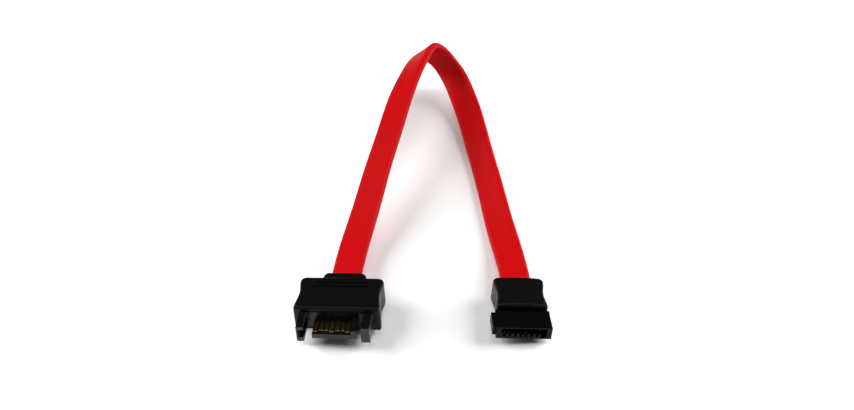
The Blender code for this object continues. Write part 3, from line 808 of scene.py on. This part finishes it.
@dataclass
class Plug(Connector):
    """The plug in millimetres: its hood, its carrier and its blades."""

    place: Pair = (1.35, 3.5)
    turn: float = -5.8
    roll: float = -3.4
    resting_half: float = 10.2
    front_half: float = 10.2
    waist_half: float = 9.58
    waist_along: float = 6.0
    rear_half: float = 10.0
    rear_corner: float = 1.5
    rim: float = 0.6
    length: float = 11.4
    collar_length: float = 3.7
    height: float = 6.7
    jacket_depth: float = 6.0

    side_wall: float = 1.4
    mouth_low: float = 1.2
    mouth_high: float = 5.55
    mouth_depth: float = 2.65
    chamber_half: float = 5.13
    chamber_front: float = 2.0
    chamber_high: float = 4.35

    collar_root: float = 5.85
    collar_sunk: float = 1.2
    collar_tip: float = 5.3
    collar_corner: float = 1.7
    collar_low: float = 1.25
    collar_high: float = 5.45
    collar_rim: float = 1.2

    groove_halves: tuple[float, ...] = (5.5, 6.15, 6.8)
    groove_setback: float = 0.75
    groove_pitch: float = 1.35
    groove_half: float = 0.27
    groove_depth: float = 0.27

    face_ahead: float = 0.2
    arm_length: float = 5.3
    arm_root: float = 1.3
    left_arm_width: float = 1.65
    right_arm_width: float = 2.05
    right_arm_inset: float = 0.35
    notch_reach: float = 1.25
    notch_sill: float = 0.5
    notch_height: float = 2.2
    tongue_half: float = 5.2
    tongue_length: float = 4.9
    tongue_low: float = 1.93
    tongue_high: float = 3.16
    key_width: float = 1.2
    key_rise: float = 1.1

    blade_half: float = 0.42
    blade_rear: float = 4.5
    blade_thickness: float = 0.25
    blade_proud: float = 0.06
    blade_tip: float = 0.21
    ground_setback: float = 0.85
    signal_setback: float = 1.25

    def build(self) -> list[bpy.types.Object]:
        """Make all of its pieces.

        Returns:
            The pieces.
        """
        return [self._hood(), self._carrier(), *map(self._blade, CONTACTS.numbers())]

    def _hood(self) -> bpy.types.Object:
        """The outer moulding with its collar, its three grooves and its mouth.

        Returns:
            The piece.
        """
        hood = Carving("plug_hood_shell", self.moulding(), softening=0.1)
        corner = self.collar_corner
        dome = [(self.collar_root, self.length - self.collar_sunk), (self.collar_root, self.length)]
        dome += arc((self.collar_tip - corner, self.rear - corner), corner, 0, 90, steps=8)
        collar = Solid.plate(mirrored(dome), self.collar_low, self.collar_high, self.collar_rim)
        hood.add(Operation.JOIN, collar)

        for number, half in enumerate(self.groove_halves):
            along = self.length - self.groove_setback - number * self.groove_pitch
            low = (-half, along - self.groove_half, self.height - self.groove_depth)
            hood.cut(low, (half, along + self.groove_half, self.height + OVERCUT))

        half = self.front_half - self.side_wall
        hood.cut((-half, -OVERCUT, self.mouth_low), (half, self.mouth_depth, self.mouth_high))
        low = (-self.chamber_half, self.chamber_front, self.tongue_low)
        hood.cut(low, (self.chamber_half, self.cable_end, self.chamber_high))
        hood.add(Operation.CUT, self.passage())
        return settle(hood.finished(self.frame), Slot.MOULDING, "plug_hood")

    def _carrier(self) -> bpy.types.Object:
        """The hard block in the mouth, with its two arms, its tongue and the tongue's key.

        Returns:
            The piece.
        """
        half = self.front_half - self.side_wall - FIT
        low, high = self.mouth_low + FIT, self.mouth_high - FIT
        face, rear = -self.face_ahead, self.mouth_depth - FIT
        flange = Solid.block((-half, face, low), (half, rear, high))
        carrier = Carving("plug_carrier_block", flange, softening=0.09)

        arm_tip = face - self.arm_length
        left_inner = -half + FIT + self.left_arm_width
        right_outer = half - self.right_arm_inset
        arms = ((-half + FIT, left_inner), (right_outer - self.right_arm_width, right_outer))
        for left, right in arms:
            carrier.join((left, arm_tip, low + FIT), (right, self.arm_root, high - FIT))

        tip, edge = face - self.tongue_length, self.tongue_half
        carrier.join((-edge, tip, self.tongue_low), (edge, self.arm_root, self.tongue_high))
        key_high = self.tongue_high + self.key_rise
        carrier.join((edge - self.key_width, tip, self.tongue_low), (edge, self.arm_root, key_high))

        sill, reach = self.tongue_low + self.notch_sill, self.notch_reach
        notch_high = (left_inner + reach, face - FIT, sill + self.notch_height)
        carrier.cut((left_inner - reach, arm_tip - FIT, sill), notch_high)
        wide = self.blade_half + FIT
        bed_low = self.tongue_high + self.blade_proud - self.blade_thickness - FIT
        bed_high = self.tongue_high + self.blade_proud + FIT
        for number in CONTACTS.numbers():
            across, front = CONTACTS.offset(number), self._blade_front(number) - FIT
            carrier.cut((across - wide, front, bed_low), (across + wide, self.blade_rear, bed_high))
        return settle(carrier.finished(self.frame), Slot.CARRIER, "plug_carrier")

    def _blade_front(self, number: int) -> float:
        """Where a blade starts: a ground's reaches further forward than a signal's."""
        setback = self.ground_setback if number in CONTACTS.grounds else self.signal_setback
        return -self.face_ahead - self.tongue_length + setback

    def _blade(self, number: int) -> bpy.types.Object:
        """One flat blade on the tongue, its front edge rounded.

        Args:
            number: The contact's number.

        Returns:
            The piece.
        """
        across, front = CONTACTS.offset(number), self._blade_front(number)
        top = self.tongue_high + self.blade_proud
        low = (across - self.blade_half, front, top - self.blade_thickness)
        shape = Solid.block(low, (across + self.blade_half, self.blade_rear, top))
        tip = [v for v in shape.mesh.verts if v.co.y < front + FIT and v.co.z > top - FIT]
        edges = [e for e in shape.mesh.edges if all(v in tip for v in e.verts)]
        shape.round(edges, self.blade_tip, segments=4)
        blade = Carving(f"plug_blade_{number}", shape, softening=0.03)
        return settle(blade.finished(self.frame), Slot.CONTACT, f"plug_contact_{number}")


@dataclass
class Receptacle(Connector):
    """The receptacle in millimetres, upside down: its grip, its nose and its springs."""

    place: Pair = (43.9, 5.45)
    turn: float = 3.6
    roll: float = 4.8
    resting_half: float = 6.05
    front_half: float = 6.1
    waist_half: float = 5.54
    waist_along: float = 4.6
    rear_half: float = 6.05
    rear_corner: float = 1.1
    rim: float = 0.6
    length: float = 10.3
    collar_length: float = 0.0
    height: float = 6.3
    jacket_depth: float = 3.2

    crown: float = 0.4
    mouth_half: float = 5.2
    mouth_low: float = 1.4
    mouth_high: float = 4.45
    mouth_depth: float = 3.05
    chamber_half: float = 5.13
    chamber_front: float = 2.9
    chamber_low: float = 1.74
    chamber_high: float = 4.15

    nose_length: float = 6.2
    nose_low: float = 1.3
    nose_high: float = 4.55
    nose_rear: float = 6.35
    nose_front: float = 6.48
    neck_root: float = 1.5
    rail_reach: float = 0.9
    rail_root: float = 0.45
    rail_setback: float = 1.2
    rail_rear: float = 0.1
    rail_low: float = 1.35
    rail_high: float = 3.85
    slot_half: float = 5.32
    slot_low: float = 2.75
    slot_high: float = 4.22
    slot_floor: float = 0.3
    keyway_width: float = 1.32
    keyway_drop: float = 1.1

    groove_low: float = 1.9
    groove_half: float = 0.31
    groove_rear: float = 4.6
    spring_half: float = 0.29
    spring_side: float = 0.08
    spring_above: float = 0.13
    spring_tip: float = 0.9
    spring_tip_rise: float = 0.16
    spring_crest: float = 2.1
    spring_ramp: float = 1.5

    def build(self) -> list[bpy.types.Object]:
        """Make all of its pieces.

        Returns:
            The pieces.
        """
        return [self._grip(), self._nose(), *map(self._spring, CONTACTS.numbers())]

    def _grip(self) -> bpy.types.Object:
        """The outer moulding with its shallow vault, its mouth and its chamber.

        Returns:
            The piece.
        """
        vault = self.moulding()
        vault.crown(self.crown, self.rear_half, self.height - self.rim)
        grip = Carving("receptacle_grip_shell", vault, softening=0.06)
        low = (-self.mouth_half, -OVERCUT, self.mouth_low)
        grip.cut(low, (self.mouth_half, self.mouth_depth, self.mouth_high))
        low = (-self.chamber_half, self.chamber_front, self.chamber_low)
        grip.cut(low, (self.chamber_half, self.cable_end, self.chamber_high))
        grip.add(Operation.CUT, self.passage())
        return settle(grip.finished(self.frame), Slot.MOULDING, "receptacle_grip")

    def _nose(self) -> bpy.types.Object:
        """The hard block in front of the grip, with its rail, its slot and seven grooves.

        Returns:
            The piece.
        """
        rear, tip = self.nose_rear, -self.nose_length
        flared = mirrored([(self.nose_front, tip), (rear, -FIT)])
        block = Solid.plate(flared, self.nose_low, self.nose_high)
        nose = Carving("receptacle_nose", block, softening=0.14)

        neck = self.mouth_half - FIT
        neck_high = (neck, self.mouth_depth - FIT, self.mouth_high - FIT)
        nose.join((-neck, -self.neck_root, self.mouth_low + FIT), neck_high)
        rail_low = (-rear - self.rail_reach, tip + self.rail_setback, self.rail_low)
        nose.join(rail_low, (-rear + self.rail_root, -self.rail_rear, self.rail_high))

        half, front = self.slot_half, tip - OVERCUT
        far_corner = (half, -self.slot_floor, self.slot_high)
        nose.cut((-half, front, self.slot_low), far_corner)
        nose.cut((half - self.keyway_width, front, self.slot_low - self.keyway_drop), far_corner)
        wide, groove_high = self.groove_half, self.slot_low + FIT
        for number in CONTACTS.numbers():
            across = CONTACTS.offset(number)
            low = (across - wide, front, self.groove_low)
            nose.cut(low, (across + wide, self.groove_rear, groove_high))
        piece = nose.finished(self.frame)
        return settle(piece, Slot.CARRIER, "receptacle_carrier", finish=BLACK_NOSE)

    def _spring(self, number: int) -> bpy.types.Object:
        """One sprung contact, which rises to a crest in the slot and dips at its tip.

        Args:
            number: The contact's number.

        Returns:
            The piece.
        """
        tip, crest = self.spring_tip - self.nose_length, self.spring_crest - self.nose_length
        low = self.groove_low + self.spring_above
        top = self.slot_low - self.spring_side
        foot = crest + self.spring_ramp
        centre = [(self.groove_rear, low), (foot, low)]
        for share in shares(8):
            centre.append((foot - self.spring_ramp * share, ease(low, top, share)))
        for share in shares(5):
            rise = ease(top, low + self.spring_tip_rise, share)
            centre.append((crest + (tip - crest) * share, rise))
        upper = [(y, z + self.spring_side) for y, z in centre]
        lower = [(y, z - self.spring_side) for y, z in reversed(centre)]

        across, half = CONTACTS.offset(number), self.spring_half
        axes = Matrix(((0, 0, 1), (1, 0, 0), (0, 1, 0))).to_4x4()
        shape = Solid.plate(upper + lower, across - half, across + half).turned(axes)
        spring = Carving(f"receptacle_spring_{number}", shape, softening=0.02)
        return settle(spring.finished(self.frame), Slot.CONTACT, f"receptacle_contact_{number}")


@dataclass
class Ribbon:
    """The flat red cable between the two ends.

    Args:
        plug: The end that it starts in.
        receptacle: The end that it stops in.
        steps: How many frames it has between two of its places.
    """

    plug: Plug
    receptacle: Receptacle
    steps: int = 12

    def _places(self) -> np.ndarray:
        """The places that the cable passes.

        Returns:
            A row for each place: x, y and z in millimetres, and its roll in radians.
        """
        start, end = math.radians(-self.plug.roll), math.radians(180 + self.receptacle.roll)
        rows = [[*place, start] for place in self.plug.held()]
        for x, y, z, roll in CABLE_ROUTE:
            rows.append([*(Vector((x, y, z)) - LAYOUT_CENTRE), math.radians(roll)])
        rows += [[*place, end] for place in reversed(self.receptacle.held())]
        return np.array(rows)

    def stations(self) -> list[Matrix]:
        """The ribbon's frames along its way.

        Returns:
            Frames in metres, with X across the ribbon and Z along it.
        """
        places = self._places()
        gaps = np.linalg.norm(np.diff(places[:, :3], axis=0), axis=1)
        slopes = self._slopes(gaps, places)
        frames = []
        for index, gap in enumerate(gaps):
            ends, leads = places[index : index + 2], slopes[index : index + 2] * gap
            count = self.steps + (1 if index == len(gaps) - 1 else 0)
            frames += [self._station(*ends, *leads, step / self.steps) for step in range(count)]
        return frames

    @staticmethod
    def _station(
        start: np.ndarray, end: np.ndarray, lead: np.ndarray, trail: np.ndarray, t: float
    ) -> Matrix:
        """One frame on the curve between two places.

        Args:
            start: The first place and its roll.
            end: The second place and its roll.
            lead: The curve's slope at the first place.
            trail: Its slope at the second place.
            t: How far along the frame is, from 0 to 1.

        Returns:
            The frame in metres, with X across the ribbon and Z along it.
        """
        point = (
            start * (2 * t**3 - 3 * t**2 + 1)
            + lead * (t**3 - 2 * t**2 + t)
            + end * (3 * t**2 - 2 * t**3)
            + trail * (t**3 - t**2)
        )
        heading = (
            (start - end) * (6 * t**2 - 6 * t)
            + lead * (3 * t**2 - 4 * t + 1)
            + trail * (3 * t**2 - 2 * t)
        )
        along = Vector(heading[:3]).normalized()
        level = along.cross(Vector((0.0, 0.0, 1.0))).normalized()
        across = level * math.cos(point[3]) + level.cross(along) * math.sin(point[3])
        axes = Matrix((across, along.cross(across), along)).transposed()
        return Matrix.Translation(Vector(point[:3]) * MM) @ axes.to_4x4()

    @staticmethod
    def _slopes(gaps: np.ndarray, places: np.ndarray) -> np.ndarray:
        """Slopes at the places that make the curve through them bend evenly.

        Args:
            gaps: The distances from place to place.
            places: The places and their rolls.

        Returns:
            A slope for each place.
        """
        count = len(places)
        rises = np.diff(places, axis=0) / gaps[:, None]
        system = np.zeros((count, count))
        right = np.zeros(places.shape)
        system[0, 0] = system[-1, -1] = 1.0
        right[0], right[-1] = rises[0], rises[-1]
        for i in range(1, count - 1):
            before, after = gaps[i - 1], gaps[i]
            system[i, i - 1 : i + 2] = after, 2 * (before + after), before
            right[i] = 3 * (after * rises[i - 1] + before * rises[i])
        return np.linalg.solve(system, right)

    def build(self) -> list[bpy.types.Object]:
        """Returns:
            The one piece.
        """
        frames = self.stations()
        mesh = bmesh.new()
        outline = [Vector((x, y, 0.0)) * MM for x, y in SECTION.dipped()]
        ring = [mesh.verts.new(frames[0] @ point) for point in outline]
        edges = [mesh.edges.new((a, b)) for a, b in zip(ring, ring[1:] + ring[:1])]
        first = edges
        for before, after in zip(frames, frames[1:]):
            grown = bmesh.ops.extrude_edge_only(mesh, edges=edges)["geom"]
            edges = [item for item in grown if isinstance(item, bmesh.types.BMEdge)]
            moved = [item for item in grown if isinstance(item, bmesh.types.BMVert)]
            bmesh.ops.transform(mesh, matrix=after @ before.inverted(), verts=moved)
        for rim in (first, edges):
            bmesh.ops.contextual_create(mesh, geom=rim)
        bmesh.ops.recalc_face_normals(mesh, faces=mesh.faces[:])
        data = unpacked(mesh, "cable_ribbon")
        smoothed(data)
        ribbon = settle(linked("cable_ribbon", data), Slot.JACKET, JACKET_NODE)

        return [ribbon]


@dataclass(frozen=True)
class Lamp:
    """A square soft lamp that faces the scene's origin.

    Args:
        name: Its name.
        place: Its place in metres.
        size: Its side in metres.
        power: Its power in watts.
    """

    name: str
    place: Point
    size: float
    power: float

    def build(self) -> None:
        """Put the lamp into the scene."""
        data = bpy.data.lights.new(self.name, "AREA")
        data.shape = "SQUARE"
        data.size = self.size
        data.energy = self.power
        lamp = linked(self.name, data)
        lamp.location = self.place
        lamp.rotation_mode = "QUATERNION"
        lamp.rotation_quaternion = Vector(self.place).to_track_quat("Z", "Y")


@dataclass(frozen=True)
class Ground:
    """The ground that the arch encloses, a wedge that narrows towards the fold, in metres; outside
    it the table's shadows are painted over with painted light.

    Args:
        middle: How far right of the origin its middle line passes.
        drift: How far that line moves to the right for each metre along.
        half: Half its width beside the origin.
        taper: How much that half shrinks for each metre along.
        front: Where it starts.
        rear: Where it ends, under the fold.
        rear_softness: How much slower than at its sides it ends there.
    """

    middle: float = 0.0018
    drift: float = 0.012
    half: float = 0.0224
    taper: float = 0.158
    front: float = -0.018
    rear: float = 0.099
    rear_softness: float = 0.5

    def outside(self, graph: Graph, across: Socket, along: Socket) -> Socket:
        """How far a point of the table lies outside this ground.

        Args:
            graph: The nodes of the table's material.
            across: The socket of the point's X.
            along: The socket of the point's Y.

        Returns:
            The socket of that distance, which is below nothing inside.
        """
        middle = graph.worked("MULTIPLY_ADD", along, self.drift, self.middle)
        apart = graph.worked("ABSOLUTE", graph.worked("SUBTRACT", across, middle))
        past = graph.worked("MULTIPLY_ADD", along, self.taper, -self.half)
        beside = graph.worked("ADD", apart, past)
        ahead = graph.worked("SUBTRACT", self.front, along)
        soft = self.rear_softness
        behind = graph.worked("MULTIPLY_ADD", along, soft, -soft * self.rear)
        return graph.worked("MAXIMUM", beside, graph.worked("MAXIMUM", ahead, behind))


@dataclass
class Studio:
    """The table, the light and the camera.

    Args:
        focal: The camera's focal length in millimetres.
        sensor: The width of its sensor in millimetres.
        pitch: How far it looks down, in degrees.
        eye: Its place in millimetres.
        lamps: The lamps.
        sky_tilt: How much the sky's bright part leans towards the camera.
        sky_edge: The heights between which the sky turns bright, from -1 to 1.
        sky_levels: The sky's strength below and above that edge.
        table_half: Half the table's side in metres.
        table_drop: How far its top lies below the object's rest, in metres.
        table_grey: Its own colour, which lights the object.
        ground: The ground inside the arch, outside which painted light covers the shadows.
        painted_glow: How much painted light the table shows to the camera, inside the arch and
            outside it.
        painted_fold_shade: How much a painted shadow darkens it at most, under the fold.
        painted_fold_shade_along: Where along the arch that painted shadow starts and is full, in
            metres.
        ground_edge: The distances outside the ground over which the painted light grows.
        shade_edge: The distances outside the ground over which that painted shadow ends.
    """

    focal: float = 63.23
    sensor: float = 36.0
    pitch: float = 37.0
    eye: tuple[float, float, float] = (1.09, -267.20, 235.18)
    lamps: tuple[Lamp, ...] = (
        Lamp("left_box", (-0.62, 0.08, 0.46), 0.5, 5.4),
        Lamp("right_box", (0.62, 0.08, 0.46), 0.5, 5.4),
        Lamp("overhead", (0.0, 0.10, 0.9), 0.4, 1.2),
    )
    sky_tilt: float = -0.3
    sky_edge: Pair = (0.68, 0.95)
    sky_levels: Pair = (0.04, 0.75)
    table_half: float = 3.0
    table_drop: float = 0.00002
    table_grey: float = 0.80
    ground: Ground = Ground()
    painted_glow: Pair = (0.02, 0.36)
    painted_fold_shade: float = 0.30
    painted_fold_shade_along: Pair = (0.052, 0.088)
    ground_edge: Pair = (0.0, 0.004)
    shade_edge: Pair = (-0.001, 0.005)

    def build(self) -> None:
        """Set up everything that isn't the object."""
        self._table()
        self._sky()
        for lamp in self.lamps:
            lamp.build()
        self._camera()
        bpy.context.scene.view_settings.view_transform = "Standard"

    def _table(self) -> None:
        """A white table that keeps the object's shadow inside the arch, with painted light over it
        outside.
        """
        mesh = bmesh.new()
        bmesh.ops.create_grid(mesh, x_segments=1, y_segments=1, size=self.table_half)
        table = linked("table", unpacked(mesh, "table"))
        table.location.z = -self.table_drop
        table.data.materials.append(self._table_finish())

    def _table_finish(self) -> bpy.types.Material:
        """The table's material: one plain grey for the light that it sheds on the object.

        To the camera, in mirrors and through clear pieces it is nearly white, with painted light
        that covers the shadows outside the arch and a painted shadow under the fold.

        Returns:
            The material.
        """
        made = bpy.data.materials.new("white_table")
        made.use_nodes = True
        graph = Graph(made.node_tree)
        shader = graph.tree.nodes["Principled BSDF"].inputs
        shader["Roughness"].default_value = 0.7
        shader["Specular IOR Level"].default_value = 0.2

        rays = graph.tree.nodes.new("ShaderNodeLightPath").outputs
        seen = rays["Is Camera Ray"]
        for kind in ("Is Glossy Ray", "Is Transmission Ray"):
            seen = graph.worked("MAXIMUM", seen, rays[kind])
        axes = graph.axes("Object")
        along = axes["Y"]
        outside = self.ground.outside(graph, axes["X"], along)

        # Painted shadow: the table's colour as seen is darkened under the fold
        inward = graph.ranged(along, self.painted_fold_shade_along, (0.0, self.painted_fold_shade), soft=True)
        within = graph.ranged(outside, self.shade_edge, (1.0, 0.0), soft=True)
        grey = graph.worked("SUBTRACT", 1.0, graph.worked("MULTIPLY", inward, within))
        graph.feed(shader["Base Color"], graph.blended(seen, (self.table_grey,) * 3, grey))
        # Painted light: emission seen by the camera, in mirrors and through clear pieces, which
        # outside the arch paints over the object's shadows
        pale = graph.ranged(outside, self.ground_edge, self.painted_glow, soft=True)
        graph.feed(shader["Emission Color"], (1.0, 1.0, 1.0))
        graph.feed(shader["Emission Strength"], graph.worked("MULTIPLY", seen, pale))
        return made

    def _sky(self) -> None:
        """A dim room whose light comes from above and in front."""
        world = bpy.data.worlds.new("soft_room")
        bpy.context.scene.world = world
        world.use_nodes = True
        graph = Graph(world.node_tree)
        axes = graph.axes("Generated")
        height = graph.worked("MULTIPLY_ADD", axes["Y"], self.sky_tilt, axes["Z"])
        strength = graph.ranged(height, self.sky_edge, self.sky_levels)
        graph.feed(graph.tree.nodes["Background"].inputs["Strength"], strength)

    def _camera(self) -> None:
        """The photograph's camera."""
        data = bpy.data.cameras.new("camera")
        data.lens = self.focal
        data.sensor_width = self.sensor
        data.clip_start = 0.01
        data.clip_end = 20.0
        camera = linked("camera", data)
        camera.location = Vector(self.eye) * MM
        camera.rotation_euler = (math.radians(90 - self.pitch), 0.0, 0.0)
        bpy.context.scene.camera = camera


def dress_nodes() -> None:
    """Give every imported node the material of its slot."""
    for subpart in frame["record"]["subparts"]:
        node = frame["nodes"][subpart["node"]]
        node.data.materials.clear()
        node.data.materials.append(FINISHES[Slot(subpart["material_slot"])].material())


def write_sizes() -> None:
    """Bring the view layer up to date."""
    bpy.context.view_layer.update()


def main() -> None:
    """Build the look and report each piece."""
    logging.basicConfig(level=logging.INFO, format="%(name)s: %(message)s")
    dress_nodes()
    plug = Plug()
    receptacle = Receptacle()
    for part in (plug, receptacle, Ribbon(plug, receptacle)):
        for piece in part.build():
            LOG.info("%s has %d faces", piece.name, len(piece.data.polygons))
    Studio().build()
    write_sizes()


if __name__ == "__main__":
    main()
